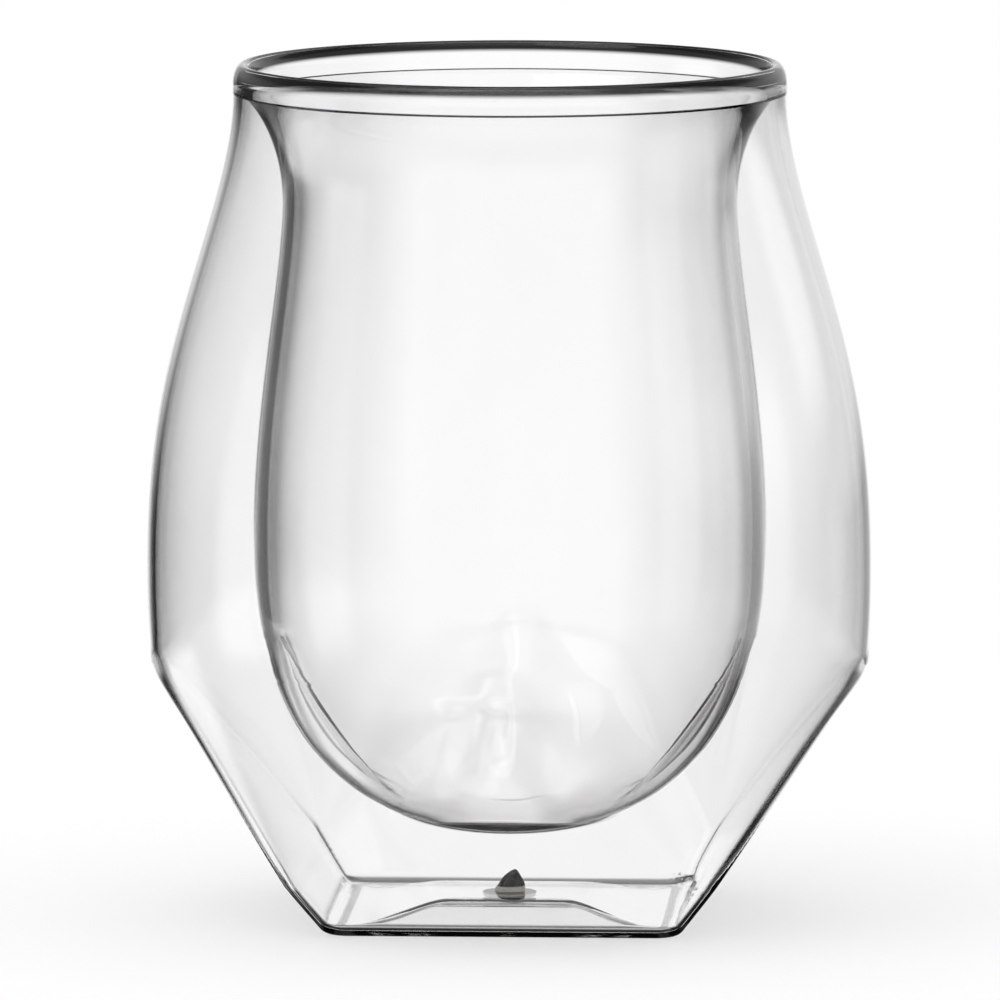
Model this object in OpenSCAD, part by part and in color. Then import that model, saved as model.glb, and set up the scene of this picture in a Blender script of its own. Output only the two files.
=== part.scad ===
// Double-walled tumbler. A round drinking bowl with four pressed fins hangs inside a blown shell.
// The shell has a round neck and belly. Below the belly it goes over to a small square foot with
// four slanted flat facets, each a triangle with its point up, and rounded corners between them.
// The two lips are fused in a rim bead, and a small seal closes the vent hole in the foot. Sizes
// are in millimetres, +Z is up, the origin is the middle of the plane that the foot rests on, and
// the facets face +X, -X, +Y and -Y.

/* [Shell] */
// Height of the glass, from the table to the top of the rim
glass_h = 95; // [91:0.5:102]
// Outer diameter of the neck and of the rim
neck_d = 61.4; // [60:0.2:64]
// Outer diameter of the belly
belly_d = 80.6; // [77:0.2:84]
// Height of the widest section
belly_z = 38; // [36:0.5:41]
// Wall of the shell at the belly and the facets
shell_t = 0.9; // [0.8:0.05:1.2]
// Wall of the shell at the neck
neck_t = 1.05; // [0.95:0.05:1.2]

/* [Facets and foot] */
// Width of the square foot, from flat to flat
foot_w = 39; // [36:0.5:42]
// Lean of the facets from upright, in degrees
facet_lean = 36; // [34:0.5:38]
// Half-width that a facet gains for each millimetre below its point
facet_spread = 1; // [0.94:0.01:1.1]
// Glass left under the air gap, in the floor of the shell
floor_t = 0.9; // [0.8:0.1:1.4]
// Height that the middle of the foot is pushed up
punt_h = 1.9; // [1.5:0.1:2.4]
// Width of the flat top of that push-up
punt_w = 15.6; // [12:0.2:18]

/* [Bowl] */
// Outer diameter of the bowl at its waist
waist_d = 50.4; // [49:0.2:52]
// Height of the waist
waist_z = 79.8; // [78:0.2:82]
// Outer diameter of the bowl at its belly
bowl_d = 57; // [55:0.2:58]
// Height of the bowl's widest section
bowl_z = 43; // [41:0.5:46]
// Height of the bowl's underside above the table
bowl_floor_z = 9.6; // [9:0.1:11]
// Wall of the bowl at its belly
bowl_t = 1.5; // [1.4:0.05:1.8]
// Thickness of the bowl's floor
bowl_floor_t = 0.9; // [0.9:0.1:1.4]
// How far each pressed fin stands into the bowl
fin_h = 2.8; // [2:0.1:3]
// Half-width of a fin where it reaches the floor
fin_half_w = 9; // [7.5:0.1:9.5]

/* [Rim and seal] */
// Height of the fused band from the weld to the top of the rim
bead_h = 3.2; // [3:0.1:3.6]
// Thickness of the fused band and its rounded lip
lip_t = 2.2; // [2.1:0.1:2.4]
// Diameter of the vent hole
vent_d = 3.1; // [2.8:0.1:3.6]
// Diameter of the seal's flange under the floor
seal_flange_d = 6; // [5.2:0.1:7]

/* [Hidden] */

// Sides of each lofted section, a multiple of 8 so that faces and corners get a side's end
sides = 64;
quarter = sides / 4;
// Sides on each half of a facet's flat, and the share by which the bowl's sides are drawn to its fins
flat_sides = 2;
fin_pull = 0.5;
// Rounding of the vent hole and of the turned pieces
$fn = 96;

// Height of the plane where both walls meet the bead
weld_z = glass_h - bead_h;
neck_r = neck_d / 2;
belly_r = belly_d / 2;
weld_r = neck_r - neck_t;
// Room left between the two lips, which the bead bridges
lip_gap = 0.1;
// Height of the lip's rounded crown
crown_h = 2.3;

// The two powers that shape the shoulder between the neck and the belly
shoulder_power = 2.4;
neck_power = 1.95;
// How much the round body draws in over a height of under_reach below the belly
under_draw = 2.9;
under_reach = 25;
facet_slope = tan(facet_lean);
// Least radius of the corners between the facets
corner_r = 2;
// Softness of the crease at a facet's point, outside and inside, and of the body's end at the corners
crease_soft = 0.5;
crease_soft_inside = 0.8;
corner_soft = 4.5;
// Height over which the flat of a facet starts, and the half-width that its sides keep above that
point_soft = 6;
least_flat = 5;

foot_r = foot_w / 2;
foot_round = 2;
floor_round = 2.5;
// Angle that a foot corner turns through, and the length of its tangents per unit of radius
foot_turn = 90 - facet_lean;
foot_tangent = tan(foot_turn / 2);
// Width of the flat ring that the glass stands on
foot_ring = 2.9;
foot_flat_r = foot_r - foot_round * foot_tangent;
foot_inner_r = foot_flat_r - foot_ring;
punt_r = punt_w / 2;

// The bowl's lower half is a quarter of a superellipse of these powers, outside and inside
bowl_power = 2.4;
hollow_power = 2.5;
// The fins reach from the first to the second of these angles round that quarter
fin_from = 17;
fin_to = 69;
// Half-width of a fin at its upper end
fin_top_w = 4.5;
waist_r = waist_d / 2;
waist_t = 1.3;
bowl_r = bowl_d / 2;
// Handles of the curves through the lip, the waist and the belly, along the axis
lip_handle = 2.2;
flare_handle = 5.4;
waist_handle = 8;
belly_handle = 14;
lip_outer_r = weld_r - lip_gap;
lip_inner_r = neck_r - lip_t;

// Rings on each stretch of the two lofts, with those at the crease counted to each side of it
facet_rings = 3;
crease_rings = 4;
body_rings = 12;
lip_rings = 5;
side_rings = 8;
under_rings = 14;

function mix(a, b, t) = a + (b - a) * t;
function clamped(t) = min(max(t, 0), 1);
// Ramp from 0 to 1 with level ends
function ease(t) = let (x = clamped(t)) x * x * (3 - 2 * x);
// The smaller of two values, blended over a span of softness k
function soft_min(a, b, k) = let (h = max(k - abs(a - b), 0) / k) min(a, b) - k * h * h / 4;
// Angle from the middle of the nearest side
function off_side(a) = abs(a - 90 * round(a / 90));
// Radius at angle a of a square of half-width half, whose flat sides of half-length flat end in
// quarter circles about the points flat, flat
function round_square(a, half, flat) =
    let (c = cos(off_side(a)), s = sin(off_side(a)))
    half * s <= flat * c
        ? half / c
        : flat * (c + s) + sqrt(max(pow(half - flat, 2) - pow(flat * (c - s), 2), 0));
// Point of a cubic curve with four control points
function cubic(p, t) = pow(1 - t, 3) * p[0] + 3 * t * pow(1 - t, 2) * p[1]
    + 3 * t * t * (1 - t) * p[2] + pow(t, 3) * p[3];
// Angle of side i of the bowl, with the sides drawn together at the fins
function fin_angle(i) = let (x = i / quarter) 90 * (x - fin_pull * sin(360 * x) / 360);
// Angle of side i of a rounded square, with sides that end where its flats end
function square_angle(i, half, flat) =
    let (
        along = i % quarter,
        j = min(along, quarter - along),
        turn = 45 * max(j - flat_sides, 0) / (quarter / 2 - flat_sides),
        x = j <= flat_sides ? half : flat + (half - flat) * cos(turn),
        y = j <= flat_sides ? flat * j / flat_sides : flat + (half - flat) * sin(turn),
        a = atan2(y, x)
    )
    90 * floor(i / quarter) + (along > j ? 90 - a : a);

// Half-width of the body at height z, less an inset
function body_half(z, inset) =
    let (drop = clamped((weld_z - z) / (weld_z - belly_z)))
    z >= belly_z
        ? mix(neck_r, belly_r, pow(1 - pow(1 - drop, shoulder_power), neck_power)) - inset
        : belly_r - under_draw * pow((belly_z - z) / under_reach, 2) - inset;
// Wall of the shell at height z, for its inner face, and nothing for its outer face
function wall_inset(z, inner) = inner ? mix(shell_t, neck_t, ease((z - belly_z) / (weld_z - belly_z))) : 0;
// Distance of the facets' planes from the axis at height z
function facet_half(z, inner) = foot_r + facet_slope * z - wall_inset(z, inner) / cos(facet_lean);
function least_corner(inner) = inner ? corner_r - shell_t : corner_r;

// Height where the facets' planes touch the round body, by halving the span low to high
function crease_z(inner, low = 10, high = 36, turns = 24) =
    let (z = (low + high) / 2)
    turns == 0 ? z
        : facet_half(z, inner) < body_half(z, wall_inset(z, inner))
            ? crease_z(inner, z, high, turns - 1)
            : crease_z(inner, low, z, turns - 1);

// Half-length of a facet's flat at height z
function facet_flat(z, inner, crease) =
    min(-facet_spread * soft_min(z - crease, 0, point_soft), facet_half(z, inner) - least_corner(inner));
// Radius of the shell: the smaller of the round body's and the facets', softly blended
function shell_radius(a, z, inner, crease) =
    let (
        sharp = inner ? crease_soft_inside : crease_soft,
        softness = mix(sharp, corner_soft, ease(off_side(a) / 45))
    )
    soft_min(
        body_half(z, wall_inset(z, inner)),
        round_square(a, facet_half(z, inner), facet_flat(z, inner, crease)),
        softness
    );

// Ring of points on the foot, a rounded square of half-width half at height z
function foot_points(half, z, inner) =
    let (flat = half * (1 - least_corner(inner) / foot_r))
    [
        for (i = [0:sides - 1])
            let (a = square_angle(i, half, flat), r = round_square(a, half, flat))
            [r * cos(a), r * sin(a), z]
    ];
// Ring of points on the shell at height z
function shell_points(z, inner, crease) =
    let (half = facet_half(min(z, crease), inner), flat = max(facet_flat(z, inner, crease), least_flat))
    [
        for (i = [0:sides - 1])
            let (a = square_angle(i, half, flat), r = shell_radius(a, z, inner, crease))
            [r * cos(a), r * sin(a), z]
    ];

// Rings of one face of the shell, from the foot's middle up to the weld
function shell_face(inner) =
    let (
        base_z = inner ? floor_t : 0,
        round_r = inner ? floor_round : foot_round,
        middle_r = facet_half(base_z, inner) - round_r * foot_tangent,
        start_z = base_z + round_r * (1 - sin(facet_lean)),
        crease = crease_z(inner),
        low_z = crease - point_soft,
        high_z = crease + point_soft
    )
    [
        foot_points(punt_r, base_z + punt_h, inner),
        foot_points(foot_inner_r, base_z, inner),
        for (turn = [0, foot_turn / 3, 2 * foot_turn / 3, foot_turn])
            foot_points(middle_r + round_r * sin(turn), base_z + round_r * (1 - cos(turn)), inner),
        for (i = [1:facet_rings - 1]) shell_points(mix(start_z, low_z, i / facet_rings), inner, crease),
        for (i = [-crease_rings:crease_rings])
            let (s = i / crease_rings) shell_points(crease + point_soft * s * abs(s), inner, crease),
        for (i = [1:body_rings]) shell_points(mix(high_z, weld_z, i / body_rings), inner, crease),
    ];

// Profile of one face of the bowl from the lip down to the floor, as radius, height and the fin's share
function bowl_profile(lip, waist, belly, floor_z, power) = [
    for (i = [0:lip_rings - 1])
        let (
            t = i / lip_rings,
            r = cubic([lip, mix(waist, lip, 0.5), waist, waist], t),
            z = cubic([weld_z, weld_z - lip_handle, waist_z + flare_handle, waist_z], t)
        )
        [r, z, 0],
    for (i = [0:side_rings - 1])
        let (
            t = i / side_rings,
            r = mix(waist, belly, ease(t)),
            z = cubic([waist_z, waist_z - waist_handle, bowl_z + belly_handle, bowl_z], t)
        )
        [r, z, 0],
    for (i = [0:under_rings - 1])
        let (
            f = 90 * i / under_rings,
            r = belly * pow(cos(f), 2 / power),
            z = bowl_z - (bowl_z - floor_z) * pow(sin(f), 2 / power)
        )
        [r, z, f],
];
// How far a fin stands in at a share s of its length, and how wide it is there
function fin_rise(s) = 4 * fin_h * s * (1 - s);
function fin_reach(s) = mix(fin_top_w, fin_half_w, s);
// Ring of the bowl at one profile point, pressed in along the face's normal at the four fins
function bowl_ring(point, belly, floor_z, power) =
    let (
        s = clamped((point[2] - fin_from) / (fin_to - fin_from)),
        slope = 2 - 2 / power,
        n_r = pow(cos(point[2]), slope) / belly,
        n_z = pow(sin(point[2]), slope) / (bowl_z - floor_z),
        n = norm([n_r, n_z])
    )
    [
        for (i = [0:sides - 1])
            let (
                a = fin_angle(i),
                press = fin_rise(s) * ease(1 - point[0] * sin(off_side(a)) / fin_reach(s)),
                r = point[0] - press * n_r / n
            )
            [r * cos(a), r * sin(a), point[1] + press * n_z / n]
    ];
// Rings of one face of the bowl, from the lip down to the floor
function bowl_face(lip, waist, belly, floor_z, power) = [
    for (point = bowl_profile(lip, waist, belly, floor_z, power)) bowl_ring(point, belly, floor_z, power)
];
function reversed(list) = [for (i = [len(list) - 1:-1:0]) list[i]];

// Closed loft over rings that all have the same count of points, shut by a point at each end
module loft(rings, first, last) {
    count = len(rings);
    function at(ring, side) = 1 + ring * sides + side % sides;
    points = [first, for (ring = rings) each ring, last];
    end = len(points) - 1;
    faces = [
        for (j = [0:sides - 1]) [0, at(0, j), at(0, j + 1)],
        for (i = [0:count - 2], j = [0:sides - 1]) each [
            [at(i, j), at(i + 1, j), at(i + 1, j + 1)],
            [at(i, j), at(i + 1, j + 1), at(i, j + 1)],
        ],
        for (j = [0:sides - 1]) [at(count - 1, j), end, at(count - 1, j + 1)],
    ];
    polyhedron(points, faces);
}

// Blown shell: outer face up to the weld, inner face back down, and the vent hole in its floor
module outer_wall() {
    color([0.90, 0.93, 0.95, 0.35])
        difference() {
            loft(
                concat(shell_face(false), reversed(shell_face(true))),
                [0, 0, punt_h],
                [0, 0, punt_h + floor_t]
            );
            cylinder(h = 4 * (punt_h + floor_t), d = vent_d, center = true);
        }
}

// Drinking bowl: flared lip, waist, belly and round bottom, with four fins pressed into the wall
module inner_bowl() {
    inner_floor_z = bowl_floor_z + bowl_floor_t;
    color([0.86, 0.90, 0.93, 0.45])
        loft(
            concat(
                reversed(bowl_face(lip_outer_r, waist_r, bowl_r, bowl_floor_z, bowl_power)),
                bowl_face(lip_inner_r, waist_r - waist_t, bowl_r - bowl_t, inner_floor_z, hollow_power)
            ),
            [0, 0, bowl_floor_z],
            [0, 0, inner_floor_z]
        );
}

// Fused ring that joins the two lips: an upright band with a rounded crown
module rim_bead() {
    round_r = lip_t / 2;
    crown_z = glass_h - crown_h;
    steps = 16;
    profile = [
        [lip_inner_r, weld_z],
        [neck_r, weld_z],
        for (i = [0:steps])
            let (turn = 180 * i / steps)
            [neck_r - round_r + round_r * cos(turn), crown_z + crown_h * sin(turn)],
    ];
    color([0.62, 0.66, 0.68, 0.6]) rotate_extrude() polygon(profile);
}

// Seal of the vent hole: flange under the floor, shank through the hole and a pointed head in the gap
module vent_seal() {
    shank_room = 0.05;
    head_catch = 0.15;
    shank_r = vent_d / 2 - shank_room;
    head_r = vent_d / 2 + head_catch;
    head_z = punt_h + floor_t;
    head_h = 2.4;
    // Power that draws the head to a soft point
    head_power = 1.4;
    flange_h = 0.6;
    steps = 12;
    profile = [
        [0, punt_h - flange_h],
        [seal_flange_d / 2 - flange_h, punt_h - flange_h],
        [seal_flange_d / 2, punt_h],
        [shank_r, punt_h],
        [shank_r, head_z],
        for (i = [0:steps])
            let (turn = 90 * i / steps)
            [head_r * pow(cos(turn), head_power), head_z + head_h * pow(sin(turn), head_power)],
    ];
    color([0.36, 0.37, 0.30]) rotate_extrude() polygon(profile);
}

outer_wall();
inner_bowl();
rim_bead();
vent_seal();
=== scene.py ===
"""Looks of the double-walled tumbler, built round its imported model.

Each piece is a smooth surface worked out from the same forms as its solid: the blown shell with its
facets, the drinking bowl with its pressed fins, the fused rim bead and the seal of the vent hole.
"""
import logging
import math
from dataclasses import dataclass
from enum import Enum
from typing import Sequence

import bpy
import numpy as np
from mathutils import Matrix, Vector


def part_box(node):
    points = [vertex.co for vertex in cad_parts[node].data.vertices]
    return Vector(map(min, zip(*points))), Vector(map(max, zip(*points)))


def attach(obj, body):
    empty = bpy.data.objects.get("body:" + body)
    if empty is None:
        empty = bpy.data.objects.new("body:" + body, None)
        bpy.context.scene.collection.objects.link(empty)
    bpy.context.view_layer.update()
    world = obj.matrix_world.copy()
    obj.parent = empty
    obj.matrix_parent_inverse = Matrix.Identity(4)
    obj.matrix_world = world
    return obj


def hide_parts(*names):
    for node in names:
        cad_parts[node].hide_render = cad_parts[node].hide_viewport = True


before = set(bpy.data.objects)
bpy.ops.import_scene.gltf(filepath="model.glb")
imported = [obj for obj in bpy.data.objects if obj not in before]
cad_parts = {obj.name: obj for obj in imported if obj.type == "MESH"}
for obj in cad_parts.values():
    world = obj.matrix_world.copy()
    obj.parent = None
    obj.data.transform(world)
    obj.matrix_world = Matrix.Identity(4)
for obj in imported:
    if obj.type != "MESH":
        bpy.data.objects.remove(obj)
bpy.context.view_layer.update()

MM = 0.001
Colour = tuple[float, float, float]
log = logging.getLogger("tumbler")


class Ends(Enum):
    """How the rows of a surface grid are shut."""

    POLES = "first and last row each shrink to a point"
    LOOP = "last row joins the first row"


class Face(Enum):
    """The two faces of a glass wall."""

    OUTER = "outer"
    INNER = "inner"


class Slot(Enum):
    """Places of a glass piece's two materials."""

    SURFACE = 0
    WELD = 1


def ease(t: np.ndarray) -> np.ndarray:
    """Ramp from 0 to 1 with level ends: 3t^2 - 2t^3, held at 0 and 1 outside."""
    x = np.clip(t, 0.0, 1.0)
    return x * x * (3.0 - 2.0 * x)


def mix(a: float | np.ndarray, b: float | np.ndarray, t: float | np.ndarray) -> float | np.ndarray:
    """Straight blend from a to b at share t."""
    return a + (b - a) * t


def soft_min(a: np.ndarray, b: np.ndarray, softness: float | np.ndarray) -> np.ndarray:
    """Smaller of two values, rounded off where they differ by less than the softness.

    Args:
        a: First values.
        b: Second values.
        softness: Difference at which the rounding starts.

    Returns:
        The softened smaller values.
    """
    share = np.maximum(softness - np.abs(a - b), 0.0) / softness
    return np.minimum(a, b) - softness * share * share / 4.0


def corner_share(angle: np.ndarray) -> np.ndarray:
    """Share of the way from the middle of a side, 0, to a corner, 1."""
    return np.abs(angle - math.pi / 2.0 * np.round(angle / (math.pi / 2.0))) / (math.pi / 4.0)


def round_square(angle: np.ndarray, half: np.ndarray, flat: np.ndarray) -> np.ndarray:
    """Radius of a square whose flat sides end in quarter circles.

    On a flat side it is half / cos of the angle from the side's middle. Past the flat it is the
    distance to the quarter circle of radius half - flat about the point (flat, flat).

    Args:
        angle: Angles round the axis.
        half: Half-width of the square.
        flat: Half-length of its flat sides: a circle where it is 0.

    Returns:
        Radius at each angle.
    """
    off = corner_share(angle) * math.pi / 4.0
    cosine, sine = np.cos(off), np.sin(off)
    inside = np.maximum((half - flat) ** 2 - (flat * (cosine - sine)) ** 2, 0.0)
    corner = flat * (cosine + sine) + np.sqrt(inside)
    return np.where(half * sine <= flat * cosine, half / cosine, corner)


def cubic(points: Sequence[float], t: np.ndarray) -> np.ndarray:
    """Value of a cubic curve at shares t.

    The four control values are weighted by u^3, 3 t u^2, 3 t^2 u and t^3, where u is 1 - t.

    Args:
        points: The four control values.
        t: Shares of the way along the curve.

    Returns:
        Value at each share.
    """
    p0, p1, p2, p3 = points
    u = 1.0 - t
    return u**3 * p0 + 3.0 * t * u**2 * p1 + 3.0 * t**2 * u * p2 + t**3 * p3


def side_angles(count: int, pull: float) -> np.ndarray:
    """Angles round the axis, drawn together at the faces (pull > 0) or at the corners (pull < 0).

    Args:
        count: Number of angles, a multiple of 8.
        pull: Share by which the even spacing of 360 / count changes.

    Returns:
        Angles in radians.
    """
    quarters = np.arange(count) / (count / 4.0)
    return math.pi / 2.0 * (quarters - pull * np.sin(2.0 * math.pi * quarters) / (2.0 * math.pi))


def spaced(stops: Sequence[float], counts: Sequence[int]) -> np.ndarray:
    """Values that run from stop to stop, evenly spaced on each stretch.

    Args:
        stops: Ends of the stretches, in order.
        counts: Values on each stretch, with both of its ends.

    Returns:
        All the values, with each stop once.
    """
    runs = [np.linspace(low, high, count) for low, high, count in zip(stops, stops[1:], counts)]
    return np.concatenate([runs[0], *(run[1:] for run in runs[1:])])


def turned(radius: np.ndarray, height: np.ndarray, angles: np.ndarray) -> np.ndarray:
    """Points at radius (row or grid), height (row or grid) and each angle round the axis.

    Args:
        radius: Radius of each row, or of each point of the grid.
        height: Height of each row, or of each point of the grid.
        angles: Angle of each column.

    Returns:
        Grid of points, rows by columns by 3.
    """
    wide = np.broadcast_to(radius if radius.ndim == 2 else radius[:, None], (len(radius), len(angles)))
    high = np.broadcast_to(height if height.ndim == 2 else height[:, None], wide.shape)
    return np.stack([wide * np.cos(angles), wide * np.sin(angles), high], axis=-1)


def surface_object(
    name: str,
    grid: np.ndarray,
    ends: Ends,
    materials: Sequence[bpy.types.Material],
    weld_strips: Sequence[int] = (),
    sharp_deg: float = 40.0,
) -> bpy.types.Object:
    """Put a grid of points, whose columns run round the axis, into a closed mesh object.

    Args:
        name: Name of the piece.
        grid: Points, rows by columns by 3, with the rows in order over the outside of the solid.
        ends: How the first and last rows are shut.
        materials: Materials of the piece, by Slot.
        weld_strips: Strips, counted from the first row, that lie on a fused joint.
        sharp_deg: Edges that turn by more than this stay sharp.

    Returns:
        The new object, linked to the scene.
    """
    rows, around, _ = grid.shape
    if ends is Ends.POLES:
        points = np.vstack([grid[0, :1], grid[1:-1].reshape(-1, 3), grid[-1, :1]])
        index = 1 + np.arange((rows - 2) * around).reshape(rows - 2, around)
    else:
        points = grid.reshape(-1, 3)
        index = np.arange(rows * around).reshape(rows, around)
        index = np.vstack([index, index[:1]])
    beside = np.roll(index, -1, axis=1)
    quads = np.stack([index[:-1], beside[:-1], beside[1:], index[1:]], axis=-1)
    faces = quads.reshape(-1, 4).tolist()
    strip = np.repeat(np.arange(len(quads)) + (ends is Ends.POLES), around)
    if ends is Ends.POLES:
        low, high = np.zeros(around, int), np.full(around, len(points) - 1)
        faces += np.stack([low, beside[0], index[0]], axis=-1).tolist()
        faces += np.stack([index[-1], beside[-1], high], axis=-1).tolist()
        strip = np.concatenate([strip, np.zeros(around, int), np.full(around, rows - 2)])
    mesh = bpy.data.meshes.new(name)
    mesh.from_pydata(points, [], faces)
    slots = np.where(np.isin(strip, weld_strips), Slot.WELD.value, Slot.SURFACE.value)
    mesh.polygons.foreach_set("material_index", slots.astype(np.int32))
    mesh.polygons.foreach_set("use_smooth", np.ones(len(faces), bool))
    mesh.set_sharp_from_angle(angle=math.radians(sharp_deg))
    for material in materials:
        mesh.materials.append(material)
    mesh.update()
    piece = bpy.data.objects.new(name, mesh)
    bpy.context.scene.collection.objects.link(piece)
    return piece


class Nodes:
    """Short hand for adding and linking the nodes of one tree."""

    def __init__(self, tree: bpy.types.NodeTree) -> None:
        """Start from an empty tree."""
        tree.nodes.clear()
        self.tree = tree

    def add(self, kind: str, **settings: object) -> bpy.types.Node:
        """Add a node of a kind and set its properties.

        Args:
            kind: Blender's name of the node type, without its ShaderNode or Node prefix.
            settings: Properties of the node, such as operation or blend_type.

        Returns:
            The new node.
        """
        prefix = "Node" if kind.startswith("Group") and kind != "Group" else "ShaderNode"
        made = self.tree.nodes.new(prefix + kind)
        for key, value in settings.items():
            setattr(made, key, value)
        return made

    def link(self, source: bpy.types.NodeSocket, target: bpy.types.NodeSocket) -> None:
        """Join an output to an input."""
        self.tree.links.new(source, target)

    def math(self, operation: str, *values: float | bpy.types.NodeSocket) -> bpy.types.NodeSocket:
        """Add a Math node on numbers or sockets.

        Args:
            operation: Blender's name of the operation.
            values: Its inputs in order.

        Returns:
            The socket with the result.
        """
        made = self.add("Math", operation=operation)
        for place, value in enumerate(values):
            if isinstance(value, bpy.types.NodeSocket):
                self.link(value, made.inputs[place])
            else:
                made.inputs[place].default_value = value
        return made.outputs[0]

    def ramp(self, value: bpy.types.NodeSocket, span: tuple[float, float]) -> bpy.types.NodeSocket:
        """Smooth ramp from 0 to 1 as a value goes over a span.

        Args:
            value: The value.
            span: Where the ramp is 0 and where it is 1, in either order.

        Returns:
            The socket with the result.
        """
        made = self.add("MapRange", interpolation_type="SMOOTHSTEP")
        self.link(value, made.inputs["Value"])
        low, high = min(span), max(span)
        made.inputs["From Min"].default_value = low
        made.inputs["From Max"].default_value = high
        if span[0] > span[1]:
            made.inputs["To Min"].default_value, made.inputs["To Max"].default_value = 1.0, 0.0
        return made.outputs["Result"]

    def blend(
        self, first: Colour, second: Colour, share: bpy.types.NodeSocket
    ) -> bpy.types.NodeSocket:
        """Mix two colours by a share that changes over the surface.

        Args:
            first: Colour where the share is 0.
            second: Colour where it is 1.
            share: The share.

        Returns:
            The socket with the colour.
        """
        made = self.add("Mix", data_type="RGBA")
        ends = [socket for socket in made.inputs if socket.type == "RGBA"]
        ends[0].default_value = (*first, 1.0)
        ends[1].default_value = (*second, 1.0)
        self.link(share, made.inputs["Factor"])
        return next(socket for socket in made.outputs if socket.type == "RGBA")

    def noise(
        self, place: bpy.types.NodeSocket, scale: bpy.types.NodeSocket, detail: float
    ) -> bpy.types.NodeSocket:
        """Add a noise.

        Args:
            place: Where on the piece it is taken.
            scale: Waves per metre.
            detail: Number of finer layers.

        Returns:
            The socket with its value.
        """
        made = self.add("TexNoise")
        made.inputs["Detail"].default_value = detail
        self.link(place, made.inputs["Vector"])
        self.link(scale, made.inputs["Scale"])
        return made.outputs["Fac"]


@dataclass(frozen=True)
class BlownSurface:
    """Faint unevenness of a blown surface, as a node group that the finishes share.

    Its height is a slow noise drawn out along the axis, like the flow of soft glass, with a little
    finer ripple, and its haze is a broken, sparse noise for the places that a cloth has dulled.

    Attributes:
        along: Slow waves along the axis for each one across it.
        flow_detail: Finer layers of the slow noise.
        ripple_times: Waves of the ripple for each slow one.
        ripple_detail: Finer layers of the ripple.
        dull_times: Dulled places for each slow wave.
        dull_detail: Finer layers of the dulled places.
        dull_span: Values of their noise where the haze starts and where it is full.
    """

    along: float = 0.45
    flow_detail: float = 1.0
    ripple_times: float = 5.0
    ripple_detail: float = 2.0
    dull_times: float = 3.0
    dull_detail: float = 6.0
    dull_span: tuple[float, float] = (0.5, 0.8)

    def group(self) -> bpy.types.NodeTree:
        """Make the group.

        Returns:
            The group, with the inputs Vector, Scale and Fine, and the outputs Height and Haze.
        """
        made = bpy.data.node_groups.new("blown_surface", "ShaderNodeTree")
        sockets = (
            ("Vector", "INPUT", "NodeSocketVector"),
            ("Scale", "INPUT", "NodeSocketFloat"),
            ("Fine", "INPUT", "NodeSocketFloat"),
            ("Height", "OUTPUT", "NodeSocketFloat"),
            ("Haze", "OUTPUT", "NodeSocketFloat"),
        )
        for name, way, kind in sockets:
            made.interface.new_socket(name=name, in_out=way, socket_type=kind)
        nodes = Nodes(made)
        entry = nodes.add("GroupInput")
        leave = nodes.add("GroupOutput")
        place, scale = entry.outputs["Vector"], entry.outputs["Scale"]
        drawn = nodes.add("Mapping")
        drawn.inputs["Scale"].default_value = (1.0, 1.0, self.along)
        nodes.link(place, drawn.inputs["Vector"])
        flow = nodes.noise(drawn.outputs[0], scale, self.flow_detail)
        ripple_scale = nodes.math("MULTIPLY", scale, self.ripple_times)
        ripple = nodes.noise(drawn.outputs[0], ripple_scale, self.ripple_detail)
        fine = nodes.math("MULTIPLY", ripple, entry.outputs["Fine"])
        nodes.link(nodes.math("ADD", flow, fine), leave.inputs["Height"])
        dull_scale = nodes.math("MULTIPLY", scale, self.dull_times)
        dull = nodes.noise(place, dull_scale, self.dull_detail)
        nodes.link(nodes.ramp(dull, self.dull_span), leave.inputs["Haze"])
        return made


def start_material(
    name: str, passing: float, ior: float
) -> tuple[bpy.types.Material, Nodes, bpy.types.Node]:
    """Start a material that lets light through.

    Args:
        name: Name of the material.
        passing: Share of the light that it lets through.
        ior: How strongly it bends light.

    Returns:
        The material, its nodes, and its shader, which is joined to the output.
    """
    made = bpy.data.materials.new(name)
    made.use_nodes = True
    nodes = Nodes(made.node_tree)
    leave = nodes.add("OutputMaterial")
    shader = nodes.add("BsdfPrincipled")
    shader.inputs["Transmission Weight"].default_value = passing
    shader.inputs["IOR"].default_value = ior
    nodes.link(shader.outputs["BSDF"], leave.inputs["Surface"])
    return made, nodes, shader


def add_unevenness(
    nodes: Nodes,
    shader: bpy.types.Node,
    surface: bpy.types.NodeTree,
    scale: float,
    fine: float,
    depth: float,
) -> tuple[bpy.types.NodeSocket, bpy.types.NodeSocket]:
    """Bump a shader with the shared surface group.

    Args:
        nodes: Nodes of the material.
        shader: The shader.
        surface: The node group of the blown surface.
        scale: Slow waves per metre.
        fine: Share of the finer ripple.
        depth: Depth of the bump in metres.

    Returns:
        The sockets with the place on the piece and with the haze.
    """
    place = nodes.add("TexCoord").outputs["Object"]
    uneven = nodes.add("Group", node_tree=surface)
    uneven.inputs["Scale"].default_value = scale
    uneven.inputs["Fine"].default_value = fine
    nodes.link(place, uneven.inputs["Vector"])
    bump = nodes.add("Bump")
    bump.inputs["Strength"].default_value = 1.0
    bump.inputs["Distance"].default_value = depth
    nodes.link(uneven.outputs["Height"], bump.inputs["Height"])
    nodes.link(bump.outputs["Normal"], shader.inputs["Normal"])
    return place, uneven.outputs["Haze"]


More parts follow.
